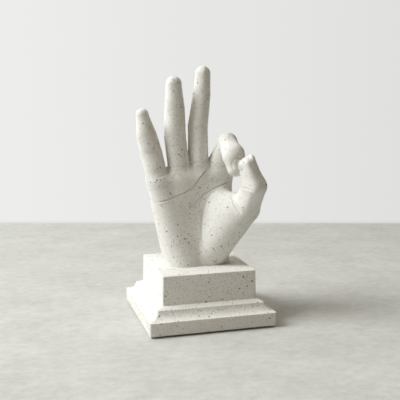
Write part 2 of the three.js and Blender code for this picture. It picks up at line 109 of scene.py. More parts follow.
stone = {
    "body": (0.80, 0.79, 0.755, 1),
    "cloud": (0.73, 0.715, 0.665, 1), "cloudSize": 9,  # faint mottling of the cast body
    "roughness": 0.72, "gloss": 0.25,
    "grain": 0.35, "grainDepth": 0.03, "grainStrength": 0.35,  # sandy surface
    "darkest": (0.030, 0.022, 0.016, 1), "palest": (0.30, 0.215, 0.135, 1),  # of the specks
    "speckEdge": (0.75, 1.1),  # shares of its radius between which a speck fades out
    "ragSize": 0.8, "ragReach": 0.7,  # how ragged the outlines are
    # layers of specks: cell, least and greatest radius, share of cells that hold one, and how pale it can be
    "handSpecks": (
        (3.9, 0.35, 0.75, 0.50, 0.3),
        (1.35, 0.15, 0.36, 0.60, 0.6),
        (0.7, 0.10, 0.20, 0.80, 1.0)),
    "plinthSpecks": (
        (3.9, 0.35, 0.80, 0.85, 0.3),
        (1.35, 0.15, 0.38, 0.62, 0.5),
        (0.7, 0.10, 0.20, 0.80, 1.0)),
}


# One layer of round specks of chance sizes: where they are, and a chance shade for each
def speckLayer(tree, place, cell, smallest, largest, share):
    cells = wire(tree, "ShaderNodeTexVoronoi", {
        "Vector": place, "Scale": 1 / (cell * mm)}, feature="F1").outputs
    chance = wire(tree, "ShaderNodeSeparateColor", {"Color": cells["Color"]}).outputs
    radius = mapRange(tree, chance[0], after=(smallest / cell, largest / cell))
    ratio = calculate(tree, "DIVIDE", cells["Distance"], radius)
    edge = mapRange(tree, ratio, stone["speckEdge"], (1.0, 0.0), interpolation_type="SMOOTHSTEP")
    present = calculate(tree, "LESS_THAN", chance[1], share)
    return calculate(tree, "MULTIPLY", edge, present), chance[2]


def speckledStone(name, specks):
    material, tree, place = blankMaterial(name)
    cloud = noise(tree, place, stone["cloudSize"], detail=4.0, roughness=0.6)[0]
    colour = mixColour(tree, cloud, stone["body"], stone["cloud"])

    # ragged outlines come from a small push of the coordinates
    push = noise(tree, place, stone["ragSize"])["Color"]
    centred = vectorMath(tree, "SUBTRACT", {0: push, 1: (0.5, 0.5, 0.5)})
    scaled = vectorMath(tree, "SCALE", {0: centred, "Scale": stone["ragReach"] * mm})
    ragged = vectorMath(tree, "ADD", {0: place, 1: scaled})
    for cell, smallest, largest, share, pale in reversed(specks):
        mask, shade = speckLayer(tree, ragged, cell, smallest, largest, share)
        speck = mixColour(tree, calculate(tree, "MULTIPLY", shade, pale), stone["darkest"], stone["palest"])
        colour = mixColour(tree, mask, colour, speck)

    grain = noise(tree, place, stone["grain"], detail=3.0, roughness=0.65)[0]
    closeMaterial(tree, wire(tree, "ShaderNodeBsdfPrincipled", {
        "Base Color": colour, "Roughness": stone["roughness"], "Specular IOR Level": stone["gloss"],
        "Normal": bump(tree, grain, stone["grainStrength"], stone["grainDepth"])}))
    return material


# Felt: dull matted wool, with a scatter of paler fibres
wool = {
    "dark": (0.018, 0.018, 0.017, 1), "pale": (0.07, 0.068, 0.062, 1),
    "fibre": 0.5, "tangle": 1.5, "depth": 0.1, "strength": 0.6,
    "roughness": 0.95, "gloss": 0.1, "sheen": 0.4, "sheenRoughness": 0.6,
}


def mattedWool():
    material, tree, place = blankMaterial("mattedWool")
    fibres = noise(tree, place, wool["fibre"], detail=5.0, roughness=0.7, distortion=wool["tangle"])[0]
    closeMaterial(tree, wire(tree, "ShaderNodeBsdfPrincipled", {
        "Base Color": mixColour(tree, fibres, wool["dark"], wool["pale"]), "Roughness": wool["roughness"],
        "Specular IOR Level": wool["gloss"], "Sheen Weight": wool["sheen"],
        "Sheen Roughness": wool["sheenRoughness"],
        "Normal": bump(tree, fibres, wool["strength"], wool["depth"])}))
    return material


# Metals: mottle is the size of the dull spots, and marks the spacing of tool marks up the axis
metals = {
    "zincPlate": {
        "bright": (0.70, 0.71, 0.73, 1), "dull": (0.62, 0.63, 0.66, 1), "roughness": (0.28, 0.42),
        "mottle": 1.4, "marks": 0.9},
    "turnedBrass": {
        "bright": (0.79, 0.65, 0.35, 1), "dull": (0.68, 0.54, 0.27, 1), "roughness": (0.24, 0.38),
        "mottle": 2.2, "marks": 0.35},
}


def plainMetal(name):
    metal = metals[name]
    material, tree, place = blankMaterial(name)
    spots = noise(tree, place, metal["mottle"], detail=4.0)[0]
    marks = wire(tree, "ShaderNodeTexWave", {
        "Vector": place, "Scale": 1 / (metal["marks"] * mm * math.tau), "Distortion": 0.4},
        bands_direction="Z")
    closeMaterial(tree, wire(tree, "ShaderNodeBsdfPrincipled", {
        "Base Color": mixColour(tree, spots, metal["bright"], metal["dull"]), "Metallic": 1.0,
        "Roughness": mapRange(tree, spots, after=metal["roughness"]),
        "Normal": bump(tree, marks.outputs[1], strength=0.25, depth=0.02)}))
    return material


handFinish = speckledStone("handStone", stone["handSpecks"])
plinthFinish = speckledStone("plinthStone", stone["plinthSpecks"])
feltFinish = mattedWool()
zincFinish, brassFinish = plainMetal("zincPlate"), plainMetal("turnedBrass")
print("materials made")


# Camera at the photograph's place, in millimetres
eye = {"place": (-170.0, -609.7, 210.0), "aim": (2.675, -0.758, 107.75), "lens": 63.0, "nearest": 10}


# Turns a camera or a lamp to look along a direction
def lookAlong(thing, direction):
    thing.rotation_mode = "QUATERNION"
    thing.rotation_quaternion = direction.to_track_quat("-Z", "Y")


def placeCamera():
    camera = newObject("camera", bpy.data.cameras.new("camera"))
    camera.data.lens = eye["lens"]
    camera.data.clip_start = eye["nearest"] * mm
    camera.location = Vector(eye["place"]) * mm
    gaze = (Vector(eye["aim"]) - Vector(eye["place"])).normalized()
    lookAlong(camera, gaze)
    scene.camera = camera
    return gaze


studio = {
    "keyFrom": (-0.735, 0.0, 0.675), "keyReach": 3000, "keyAim": 100, "keySize": 1700, "keyPower": 116.0,
    "keyColour": (0.94, 0.975, 1.0),
    "skyColour": (1.0, 0.82, 0.57, 1), "skyStrength": (0.135, 0.285),  # at the horizon and overhead
    "wallAway": 438, "wallReach": 3000,  # behind the plinth's middle, along the view
    # the wall's tones: the second is painted dimmer, for light falling off along x
    "wallTone": (0.845, 0.845, 0.83, 1), "wallPaintedDimTone": (0.735, 0.735, 0.72, 1),
    "wallPaintedFalloff": (-150, 500),  # along x, painted light falling off from the first tone to the second
    "wallFoot": (0.85, 0.85, 0.845, 1), "wallFootHigh": 4.5,  # soft shade where the wall meets the floor
    "floorTone": (0.64, 0.636, 0.604, 1), "floorCloud": (0.405, 0.402, 0.382, 1), "floorRoughness": 0.85,
    "floorLayers": ((45, 0.4), (7, 0.4), (1.6, 0.2)),  # size and share of each layer of mottling
    "floorStretch": (0.7, 1.0, 1.0), "floorContrast": (0.3, 0.7),
}


def laySheet(name, corners, material):
    mesh = bpy.data.meshes.new(name)
    mesh.from_pydata([tuple(c) for c in corners], [], [(0, 1, 2, 3)])
    mesh.materials.append(material)
    newObject(name, mesh)


def floorFinish():
    material, tree, place = blankMaterial("floorFinish")
    drawn = wire(tree, "ShaderNodeMapping", {"Vector": place, "Scale": studio["floorStretch"]}).outputs[0]
    layers = [calculate(tree, "MULTIPLY", noise(tree, drawn, size, detail=5.0, roughness=0.65)[0], share)
              for size, share in studio["floorLayers"]]
    mottle = calculate(tree, "ADD", calculate(tree, "ADD", layers[0], layers[1]), layers[2])
    cloudy = mapRange(tree, mottle, studio["floorContrast"])
    closeMaterial(tree, wire(tree, "ShaderNodeBsdfPrincipled", {
        "Base Color": mixColour(tree, cloudy, studio["floorTone"], studio["floorCloud"]),
        "Roughness": studio["floorRoughness"]}))
    return material


# The wall shows the camera a painted glow, its light painted to fall off along x and painted shade at its
# foot, and shows nothing from behind
def wallPaintedGlow():
    material, tree, place = blankMaterial("wallPaintedGlow")
    spot = wire(tree, "ShaderNodeSeparateXYZ", {"Vector": place}).outputs
    # painted light: the glow dims along x, from the first tone to the second
    far = mapRange(tree, spot[0], [x * mm for x in studio["wallPaintedFalloff"]])
    tone = mixColour(tree, far, studio["wallTone"], studio["wallPaintedDimTone"])
    # painted shade: the glow darkens over the wall's lowest few millimetres, where it meets the floor
    low = mapRange(tree, spot[2], (0.0, studio["wallFootHigh"] * mm), (1.0, 0.0))
    tone = mixColour(tree, low, tone, studio["wallFoot"], "MULTIPLY")
    # camera, glossy and transmission rays see the painted glow; diffuse light sees a plain lit wall
    paintedGlow = wire(tree, "ShaderNodeEmission", {"Color": tone, "Strength": 1.0}).outputs[0]
    lit = wire(tree, "ShaderNodeBsdfDiffuse", {"Color": studio["wallTone"]}).outputs[0]
    path = wire(tree, "ShaderNodeLightPath").outputs
    seen = calculate(tree, "MAXIMUM", path["Is Camera Ray"], path["Is Glossy Ray"])
    seen = calculate(tree, "MAXIMUM", seen, path["Is Transmission Ray"])
    front = wire(tree, "ShaderNodeMixShader", {0: seen, 1: lit, 2: paintedGlow}).outputs[0]
    clear = wire(tree, "ShaderNodeBsdfTransparent").outputs[0]
    behind = wire(tree, "ShaderNodeNewGeometry").outputs["Backfacing"]
    closeMaterial(tree, wire(tree, "ShaderNodeMixShader", {0: behind, 1: front, 2: clear}))
    return material


def layStage():
    ahead = Vector((gaze.x, gaze.y, 0)).normalized()
    wide = studio["wallReach"] * mm
    aside, up = Vector((ahead.y, -ahead.x, 0)) * wide, Vector((0, 0, wide))
    back = ahead * studio["wallAway"] * mm
    near = back - ahead * 2 * wide
    laySheet("floor", (near - aside, near + aside, back + aside, back - aside), floorFinish())
    laySheet("wall", (back - aside, back + aside, back + aside + up, back - aside + up), wallPaintedGlow())


def hangKey():
    key = newObject("keyLight", bpy.data.lights.new("keyLight", "AREA"))
    key.data.shape = "DISK"
    key.data.size = studio["keySize"] * mm
    key.data.energy = studio["keyPower"]
    key.data.color = studio["keyColour"]
    toward = Vector(studio["keyFrom"]).normalized()
    key.location = Vector((0, 0, studio["keyAim"] * mm)) + toward * studio["keyReach"] * mm
    lookAlong(key, -toward)


def tintSky():
    world = bpy.data.worlds.new("studioWorld")
    world.use_nodes = True
    tree = world.node_tree
    tree.nodes.clear()
    look = wire(tree, "ShaderNodeTexCoord").outputs["Generated"]
    height = wire(tree, "ShaderNodeSeparateXYZ", {0: look}).outputs[2]
    glow = mapRange(tree, height, after=studio["skyStrength"])
    sky = wire(tree, "ShaderNodeBackground", {"Color": studio["skyColour"], "Strength": glow})
    wire(tree, "ShaderNodeOutputWorld", {"Surface": sky.outputs[0]})
    scene.world = world


gaze = placeCamera()
layStage()
hangKey()
tintSky()
scene.view_settings.view_transform = "Standard"
print("camera and studio placed")


def newPiece(name, mesh, material, slot, *replaced):
    mesh.name = name
    mesh.materials.clear()
    mesh.materials.append(material)
    piece = newObject(name, mesh)
    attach(piece, "root")
    if replaced:
        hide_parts(*replaced)
    return piece


# An empty Geometry Nodes tree, the sockets of its named inputs inside it, and their identifiers outside
def newTree(name, kinds, result):
    tree = bpy.data.node_groups.new(name, "GeometryNodeTree")
    sockets = {label: tree.interface.new_socket(label, in_out="INPUT", socket_type="NodeSocket" + kind)
               for label, kind in kinds.items()}
    tree.interface.new_socket(result, in_out="OUTPUT", socket_type="NodeSocketGeometry")
    given = wire(tree, "NodeGroupInput").outputs
    return tree, given, {label: socket.identifier for label, socket in sockets.items()}


def closeTree(tree, result, geometry, material):
    whole = wire(tree, "GeometryNodeRealizeInstances", {"Geometry": geometry}).outputs[0]
    dressed = wire(tree, "GeometryNodeSetMaterial", {"Geometry": whole, "Material": material})
    wire(tree, "NodeGroupOutput", {result: dressed.outputs[0]})


# The plain mesh that a tree makes of a mesh, with values for its named inputs
def grown(name, mesh, tree, sockets, values):
    source = newObject(name, mesh)
    growth = source.modifiers.new(name, "NODES")
    growth.node_group = tree
    for label, value in values.items():
        growth[sockets[label]] = value
    made = bpy.data.meshes.new_from_object(source.evaluated_get(bpy.context.evaluated_depsgraph_get()))
    bpy.data.objects.remove(source)
    return made


# Closes a body's open ends with level faces; a hole let into them is a centre and its [radius, height] rings
def closeEnds(body, levels, holes=(), sides=32, slack=0.01):
    rims = {level: [e for e in body.edges if e.is_boundary and abs(e.verts[0].co.z - level) < slack]
            for level in levels}
    turn = [math.tau * n / sides for n in range(sides)]
    for (x, y), rings in holes:
        loops = [[body.verts.new((x + radius * math.cos(a), y + radius * math.sin(a), height)) for a in turn]
                 for radius, height in rings]
        for low, high in zip(loops, loops[1:]):
            for n in range(sides):
                body.faces.new((low[n - 1], low[n], high[n], high[n - 1]))
        for loop, (_, height) in ((loops[0], rings[0]), (loops[-1], rings[-1])):
            mouths = [level for level in levels if abs(level - height) < slack]
            if mouths:
                rims[mouths[0]] += [body.edges.get((loop[n - 1], loop[n])) for n in range(sides)]
            else:
                body.faces.new(loop)  # floor of a blind hole
    for rim in rims.values():
        bmesh.ops.triangle_fill(body, use_beauty=True, edges=rim)
    bmesh.ops.recalc_face_normals(body, faces=body.faces[:])


# Turns a body worked in millimetres into a mesh in metres, lifted by base millimetres
def inMetres(body, base=0.0, sharpFrom=35):
    print("open edges:", sum(not e.is_manifold for e in body.edges))
    bmesh.ops.scale(body, vec=(mm, mm, mm), verts=body.verts[:])
    bmesh.ops.translate(body, vec=(0, 0, base * mm), verts=body.verts[:])
    mesh = bpy.data.meshes.new("shape")
    body.to_mesh(mesh)
    body.free()
    mesh.polygons.foreach_set("use_smooth", [True] * len(mesh.polygons))
    mesh.set_sharp_from_angle(angle=math.radians(sharpFrom))
    return mesh


# Plinth, in millimetres from the table: the felt, the foot with its hollow moulding, and the die
felt = {"thick": 1.5, "half": 53.0, "corner": 3.0, "round": 0.5}
foot = {
    "half": 57.0, "face": 12.0, "corner": 1.8, "round": 1.2,
    "coveHeight": 7.9, "coveDepth": 2.0, "coveLip": 0.2,
    "ledge": 6.0, "ledgeFall": 2.3, "ledgeFlat": 0.4, "ledgeRound": 1.0,  # shelf round the die, sloping out
}
die = {"half": 42.9, "draft": 0.45, "height": 26.0, "corner": 1.6, "round": 0.9}
footTop = felt["thick"] + foot["face"] + foot["coveHeight"] + foot["ledgeFall"]
dieTop = footTop + die["height"]


# A square block with round corners, made by carrying a profile of [half width, height] points round it
def mouldedBlock():
    tree, given, sockets = newTree("mouldedBlock", {
        "Profile": "Geometry", "Corner Radius": "Float", "Corner Steps": "Int",
        "Material": "Material"}, "Block")

    def do(*parts):
        return calculate(tree, *parts)

    counted = wire(tree, "GeometryNodeAttributeDomainSize", {"Geometry": given["Profile"]})
    rows = counted.outputs["Point Count"]
    perCorner = do("ADD", given["Corner Steps"], 1.0)
    around = do("MULTIPLY", perCorner, 4.0)
    grid = wire(tree, "GeometryNodeMeshGrid", {"Vertices X": do("ADD", around, 1.0), "Vertices Y": rows})

    # which point of the profile, which corner, and how far round that corner
    index = wire(tree, "GeometryNodeInputIndex").outputs[0]
    column = do("FLOOR", do("DIVIDE", do("ADD", index, 0.5), rows))
    row = do("SUBTRACT", index, do("MULTIPLY", column, rows))
    step = do("MODULO", column, around)
    corner = do("FLOOR", do("DIVIDE", do("ADD", step, 0.5), perCorner))
    share = do("DIVIDE", do("SUBTRACT", step, do("MULTIPLY", corner, perCorner)), given["Corner Steps"])
    angle = do("MULTIPLY", do("ADD", corner, share), math.pi / 2)
    facing = do("MULTIPLY", do("ADD", corner, 0.5), math.pi / 2)

    place = wire(tree, "GeometryNodeInputPosition").outputs[0]
    taken = wire(tree, "GeometryNodeSampleIndex", {
        "Geometry": given["Profile"], "Value": place, "Index": row}, data_type="FLOAT_VECTOR")
    point = wire(tree, "ShaderNodeSeparateXYZ", {0: taken.outputs["Value"]}).outputs
    reach = do("SUBTRACT", point[0], given["Corner Radius"])

    def level(turn):
        straight = do("MULTIPLY", do("SIGN", do(turn, facing)), reach)
        return do("ADD", straight, do("MULTIPLY", do(turn, angle), given["Corner Radius"]))

    spot = wire(tree, "ShaderNodeCombineXYZ", {0: level("COSINE"), 1: level("SINE"), 2: point[2]}).outputs[0]
    moved = wire(tree, "GeometryNodeSetPosition", {"Geometry": grid.outputs[0], "Position": spot})
    closed = wire(tree, "GeometryNodeMergeByDistance", {"Geometry": moved.outputs[0], "Distance": 0.0001})
    closeTree(tree, "Block", closed.outputs[0], given["Material"])
    return tree, sockets


blockTree, blockSockets = mouldedBlock()


def blockMesh(profile, corner, material, holes=(), steps=8):
    line = bpy.data.meshes.new("profile")
    points = [(half, 0, height) for half, height in profile]
    line.from_pydata(points, [(n, n + 1) for n in range(len(points) - 1)], [])
    body = bmesh.new()
    body.from_mesh(grown("profile", line, blockTree, blockSockets, {
        "Corner Radius": corner, "Corner Steps": steps, "Material": material}))
    closeEnds(body, (profile[0][1], profile[-1][1]), holes)
    return inMetres(body)


# Points of a quarter turn, from one angle to another in degrees
def quarter(centre, radius, first, last, steps=8):
    angles = [math.radians(first + (last - first) * n / steps) for n in range(steps + 1)]
    return [(centre[0] + radius * math.cos(a), centre[1] + radius * math.sin(a)) for a in angles]


# Points of a shallow hollow between two points, sunk to the left of its run
def hollowRun(first, last, depth, steps=12):
    run = (last[0] - first[0], last[1] - first[1])
    left = (-run[1] / math.hypot(*run), run[0] / math.hypot(*run))
    shares = [n / steps for n in range(steps + 1)]
    return [tuple(first[n] + run[n] * t + left[n] * depth * 4 * t * (1 - t) for n in (0, 1)) for t in shares]


def footProfile():
    half, low = foot["half"], felt["thick"]
    ledgeHalf, flatHalf = die["half"] + foot["ledge"], die["half"] + foot["ledgeFlat"]
    slope = math.degrees(math.atan2(foot["ledgeFall"], ledgeHalf - flatHalf))
    roundLow = footTop - foot["ledgeFall"] - foot["ledgeRound"] * math.tan(math.radians((90 - slope) / 2))
    coveLow, coveHigh = (half, low + foot["face"]), (ledgeHalf, roundLow - foot["coveLip"])
    return (quarter((half - foot["round"], low + foot["round"]), foot["round"], -90, 0)
            + hollowRun(coveLow, coveHigh, foot["coveDepth"])
            + quarter((ledgeHalf - foot["ledgeRound"], roundLow), foot["ledgeRound"], 0, 90 - slope)
            + [(flatHalf, footTop)])


def dieProfile():
    centre = (die["half"] - die["draft"] - die["round"], dieTop - die["round"])
    return [(die["half"], footTop)] + quarter(centre, die["round"], 0, 90)


# Radii and depths of what is bored into the plinth and the wrist
bores = {
    "rod": 4.3, "pocket": 14.0, "pocketDepth": 14.5, "sleeve": 6.8, "sleeveDepth": 26.6,
    "dowel": 2.8, "dowelDepth": 9.3, "dowelPlace": 22.0,
}


def hole(x, radius, first, last):
    return (x, 0), ((radius, first), (radius, last))


def dowelHole(side, first, way):
    return hole(side * bores["dowelPlace"], bores["dowel"], first, first + way * bores["dowelDepth"])


pocketTop = felt["thick"] + bores["pocketDepth"]
rodPocket = ((bores["pocket"], felt["thick"]), (bores["pocket"], pocketTop),
             (bores["rod"], pocketTop), (bores["rod"], footTop))
footHoles = [((0, 0), rodPocket), dowelHole(1, footTop, -1)]
dieHoles = [hole(0, bores["rod"], footTop, dieTop), dowelHole(1, footTop, 1), dowelHole(-1, dieTop, -1)]
wristHoles = [hole(0, bores["sleeve"], 0, bores["sleeveDepth"]), dowelHole(-1, 0, 1)]

footPiece = newPiece("plinthFoot", blockMesh(footProfile(), foot["corner"], plinthFinish, footHoles),
                     plinthFinish, "speckled_stone", "plinth_foot")
diePiece = newPiece("plinthDie", blockMesh(dieProfile(), die["corner"], plinthFinish, dieHoles),
                    plinthFinish, "speckled_stone", "plinth_die")
print("plinth:", len(footPiece.data.polygons) + len(diePiece.data.polygons), "faces")


# Felt: a cut sheet with soft edges, and a nap of loose fibres standing out of its sides
def feltProfile():
    edge = felt["round"]
    return (quarter((felt["half"] - edge, edge), edge, -90, 0)
            + quarter((felt["half"] - edge, felt["thick"] - edge), edge, 0, 90))


feltPiece = newPiece("feltSheet", blockMesh(feltProfile(), felt["corner"], feltFinish),
                     feltFinish, "felt", "felt_base")

nap = {
    "perArea": 1.6, "length": 0.7, "thick": 0.03, "lean": 0.5, "seed": 7,
    "upright": 0.2,  # steepest slant of a face that carries fibres
    "strayFrom": (-1.0, -1.0, -0.3), "strayTo": (1.0, 1.0, 0.5),  # ways that fibres lean
}


# Fibres scattered over the upright faces of a sheet
def napTree():
    tree, given, sockets = newTree("feltNap", {
        "Sheet": "Geometry", "Density": "Float", "Length": "Float", "Thickness": "Float", "Lean": "Float",
        "Seed": "Int", "Material": "Material"}, "Nap")
    facing = wire(tree, "GeometryNodeInputNormal").outputs[0]
    slant = calculate(tree, "ABSOLUTE", wire(tree, "ShaderNodeSeparateXYZ", {0: facing}).outputs[2])
    upright = wire(tree, "FunctionNodeCompare", {0: slant, 1: nap["upright"]}, operation="LESS_THAN")
    spread = wire(tree, "GeometryNodeDistributePointsOnFaces", {
        "Mesh": given["Sheet"], "Selection": upright.outputs[0], "Density": given["Density"],
        "Seed": given["Seed"]}).outputs
    fibre = wire(tree, "GeometryNodeMeshCone", {
        "Vertices": 3, "Radius Top": 0.0, "Radius Bottom": given["Thickness"], "Depth": given["Length"]},
        fill_type="NONE")
    stray = wire(tree, "FunctionNodeRandomValue", {
        "Min": nap["strayFrom"], "Max": nap["strayTo"], "Seed": given["Seed"]}, data_type="FLOAT_VECTOR")
    bent = vectorMath(tree, "SCALE", {0: stray.outputs[0], "Scale": given["Lean"]})
    way = vectorMath(tree, "ADD", {0: spread["Normal"], 1: bent})
    turned = wire(tree, "FunctionNodeAlignRotationToVector", {"Vector": way}, axis="Z")
    placed = wire(tree, "GeometryNodeInstanceOnPoints", {
        "Points": spread["Points"], "Instance": fibre.outputs[0], "Rotation": turned.outputs[0]})
    closeTree(tree, "Nap", placed.outputs[0], given["Material"])
    return tree, sockets


def napMesh():
    tree, sockets = napTree()
    return grown("nap", feltPiece.data.copy(), tree, sockets, {
        "Density": nap["perArea"] / mm ** 2, "Length": nap["length"] * mm, "Thickness": nap["thick"] * mm,
        "Lean": nap["lean"], "Seed": nap["seed"], "Material": feltFinish})


napPiece = newPiece("feltNap", napMesh(), feltFinish, "felt")
print("felt:", len(feltPiece.data.polygons), "faces, nap:", len(napPiece.data.polygons))


# Hand, formed in millimetres from the plane where the wrist meets the die, palm to -Y and thumb to +X
handBack = (0, 1, 0)
hand = {
    "cell": 0.84, "margin": 20, "armBelow": 8, "sharpFrom": 50,
    "flatness": 0.94, "padSwell": 0.5,  # depth of a finger as a share of its width, and swell of its pads
    "wristFlesh": (12.5, 14.0, 13.5),  # to the side, palm and back of each palm bone's lower end
    "knuckleFlesh": (12.0, 7.5),  # to the palm and back of its upper end
    "rampShare": 0.45, "rampTaper": 0.7,  # where a finger starts to rise out of the palm, and how slim
    "ridge": {"share": 0.6, "half": (3.0, 7.0), "rise": (0.1, 1.5)},  # over each palm bone's back
    "palmFillet": 15.0, "cupFillet": 8.0, "ridgeFillet": 4.0, "webFillet": 6.0, "jointFillet": 2.5,
    # fillets that change with height: two heights, then the fillet up to the first and from the second
    "fingerFillet": ((79, 91), (6.0, 2.2)), "gapFillet": ((77, 89), (10.0, 1.2)),
    "thenarFillet": ((46, 62), (3.0, 10.0)), "touchFillet": ((55, 80), (6.0, 1.0)),
    "cup": ((-1, -30, 56), (20, 19, 30)),  # middle and half sizes of the palm's hollow
    # mounds: both ends, then half widths, half depths and caps at the ends, and where their backs face
    "thenar": ((5, -6.5, 8), (20, -16.5, 46), (5, 19.5), (7, 13), (10, 22), (0.78, 0.62, 0)),
    "heel": ((-15, -6, 2), (-27, 1, 46), (8, 5), (8, 5), (12, 12), handBack),
    "web": ((22, 0, 55), (36, -22, 55), (7.5, 7.5), (7.5, 7.5), (7, 7), handBack),
}
# wrist and knuckle are the ends of the palm's bone, with palm and cap its flesh beside and past the knuckle;
# the finger starts forward of that, and its bones sway towards the thumb and curl towards the palm
fingers = {
    "little": {
        "wrist": (-16.5, 1), "knuckle": (-36.6, 2.5, 77), "palm": 8.4, "cap": 9, "forward": 4,
        "bones": (26, 17.3, 18), "sway": (-13, -15.5, -12), "curl": (-2, 5, 6.5),
        "half": (9.6, 9.7, 8.9, 5.6), "squareness": 2.1, "fillet": 0.6},
    "ring": {
        "wrist": (-5, 1), "knuckle": (-16.2, 2, 79), "palm": 15, "cap": 12, "forward": 4,
        "bones": (37.3, 24, 23), "sway": (-7, -1, -3), "curl": (-1.5, 2.5, 6.5),
        "half": (9.7, 9.7, 9.0, 7.0), "squareness": 2.2, "fillet": 0.6},
    "middle": {
        "wrist": (7, 1), "knuckle": (0.9, 2, 80.5), "palm": 15, "cap": 14, "forward": 4,
        "bones": (44.8, 28.2, 18.7), "sway": (-0.5, 6.8, 1.5), "curl": (-1.5, 2, 6.5),
        "half": (9.3, 9.1, 8.0, 6.9), "squareness": 1.8, "fillet": 0.6},
    "fore": {
        "wrist": (18, 1), "knuckle": (20.5, 3, 82), "palm": 11.5, "cap": 12, "forward": 0,
        "bones": (35.9, 20.2, 12.1), "sway": (5.5, 1.7, -6), "curl": (34, 118, 170),
        "half": (13.5, 8.4, 9.4, 7.2), "squareness": 2.2, "fillet": 2.5},
}
thumb = {
    "joints": ((11.5, -3, 3), (37.2, -27.7, 52.7), (38.6, -46.8, 76.0), (31.4, -46.0, 95.8)),
    "nailward": (0.9, -0.1, 0.4), "half": (13.5, 11, 9.7, 6.6), "flatness": (0.95, 0.95, 0.92, 0.9),
    "squareness": 3.1, "turn": (0, 10, 35),  # of each bone's section about the bone, in degrees
    # corner of the nail's free edge, and the slope that runs down from it over the end of the thumb
    "corner": ((37.0, -46.9, 92.0), (35.0, -46.3, 102.0)), "cornerHalf": ((5, 3.4, 3.4), (4, 3.2, 2.6)),
    "cornerCaps": (3, 3.5), "cornerFillet": 3.0,
    "slopeFrom": (35.3, -46.0, 104.4), "slopeFacing": (-0.44, -0.13, 0.89), "slopeFillet": 5.0,
}


def boneFrame(start, end, dorsal):
    start, end, dorsal = (np.array(v, dtype=np.float64) for v in (start, end, dorsal))
    length = np.linalg.norm(end - start)
    axis = (end - start) / length
    out = dorsal - axis * (dorsal @ axis)
    out = out / np.linalg.norm(out)
    return {"start": start, "length": length, "axis": axis, "out": out, "side": np.cross(axis, out)}


# Distance to the flesh round one bone; sizes gives its half widths to the side, the palm and the back
def flesh(points, bone, sizes, caps, power=2.0):
    reach = points - bone["start"].astype(points.dtype)
    along = reach @ bone["axis"].astype(points.dtype)
    share = np.clip(along / bone["length"], 0, 1)
    past = along - share * bone["length"]
    depth = reach @ bone["out"].astype(points.dtype)
    across = reach @ bone["side"].astype(points.dtype)
    side, palm, back = sizes(share)
    thick = np.where(depth > 0, back, palm)
    cap = np.where(past > 0, caps[1], caps[0])
    u, v, w = np.abs(across / side), np.abs(depth / thick), past / cap
    if power == 2.0:
        section, lean = u * u + v * v, 1.0
    else:
        section = (u ** power + v ** power) ** (2 / power)
        lean = np.maximum(section, 1e-9) ** (1 - power / 2)
    ratio = np.sqrt(section + w * w)
    steep = np.sqrt((lean * u ** (power - 1) / side) ** 2 + (lean * v ** (power - 1) / thick) ** 2
                    + (w / cap) ** 2)
    return ratio * (ratio - 1) / np.maximum(steep, 1e-6)


# Joins two distances with a fillet of about the given size
def blend(first, second, fillet):
    share = np.maximum(fillet - np.abs(first - second), 0) / fillet
    return np.minimum(first, second) - share * share * fillet / 4


def blendAll(distances, fillet):
    total = distances[0]
    for distance in distances[1:]:
        total = blend(total, distance, fillet)
    return total


# Takes a cutter's inside out of a form; both are distances, negative inside
def carve(distance, cutter, fillet):
    return -blend(-distance, cutter, fillet)


def tapered(first, last):
    return lambda share: tuple(a + (b - a) * share for a, b in zip(first, last))


def mound(points, spec):
    start, end, wide, deep, caps, out = spec
    first, last = ((w, d, d) for w, d in zip(wide, deep))
    return flesh(points, boneFrame(start, end, out), tapered(first, last), caps)


# A smooth run through a list of sizes, between entry i and the next
def eased(sizes, i, share):
    before, first, last, after = (sizes[min(max(n, 0), len(sizes) - 1)] for n in range(i - 1, i + 3))
    leave, arrive = (last - before) / 2, (after - first) / 2
    square, cube = share ** 2, share ** 3
    return ((2 * cube - 3 * square + 1) * first + (cube - 2 * square + share) * leave
            + (3 * square - 2 * cube) * last + (cube - square) * arrive)


def fingerBones(finger):
    joint = np.array(finger["knuckle"], dtype=np.float64) - (0, finger["forward"], 0)
    bones = []
    for length, sway, curl in zip(finger["bones"], np.radians(finger["sway"]), np.radians(finger["curl"])):
        straight = np.array((math.sin(sway), 0, math.cos(sway)))
        palmward = np.array((0, -1, 0))
        end = joint + length * (straight * math.cos(curl) + palmward * math.sin(curl))
        bones.append(boneFrame(joint, end, straight * math.sin(curl) - palmward * math.cos(curl)))
        joint = end
    return bones


def phalanxSizes(finger, i):
    def sizes(share):
        side = eased(finger["half"], i, share)
        deep = side * hand["flatness"]
        return side, deep + hand["padSwell"] * np.sin(math.pi * share) ** 2, deep
    return sizes


# Ends of a finger's bone in the palm, the lower one at the given height
def palmEnds(finger, low):
    return np.array((*finger["wrist"], low), dtype=float), np.array(finger["knuckle"], dtype=float)


def fingerForm(points, finger):
    half, bones = finger["half"], fingerBones(finger)
    parts = [flesh(points, bone, phalanxSizes(finger, i), half[i:i + 2], finger["squareness"])
             for i, bone in enumerate(bones)]
    wrist, knuckle = palmEnds(finger, 0)
    ramp = boneFrame(knuckle + (wrist - knuckle) * hand["rampShare"], bones[0]["start"], handBack)
    full = (half[0], half[0] * hand["flatness"], half[0] * hand["flatness"])
    slim = [size * hand["rampTaper"] for size in full]
    parts.append(flesh(points, ramp, tapered(slim, full), (half[0], half[0]), finger["squareness"]))
    return blendAll(parts, finger["fillet"])


def palmForm(points, finger):
    bone = boneFrame(*palmEnds(finger, -hand["armBelow"]), handBack)
    end = (finger["palm"], *hand["knuckleFlesh"])
    return flesh(points, bone, tapered(hand["wristFlesh"], end), (hand["wristFlesh"][0], finger["cap"]))


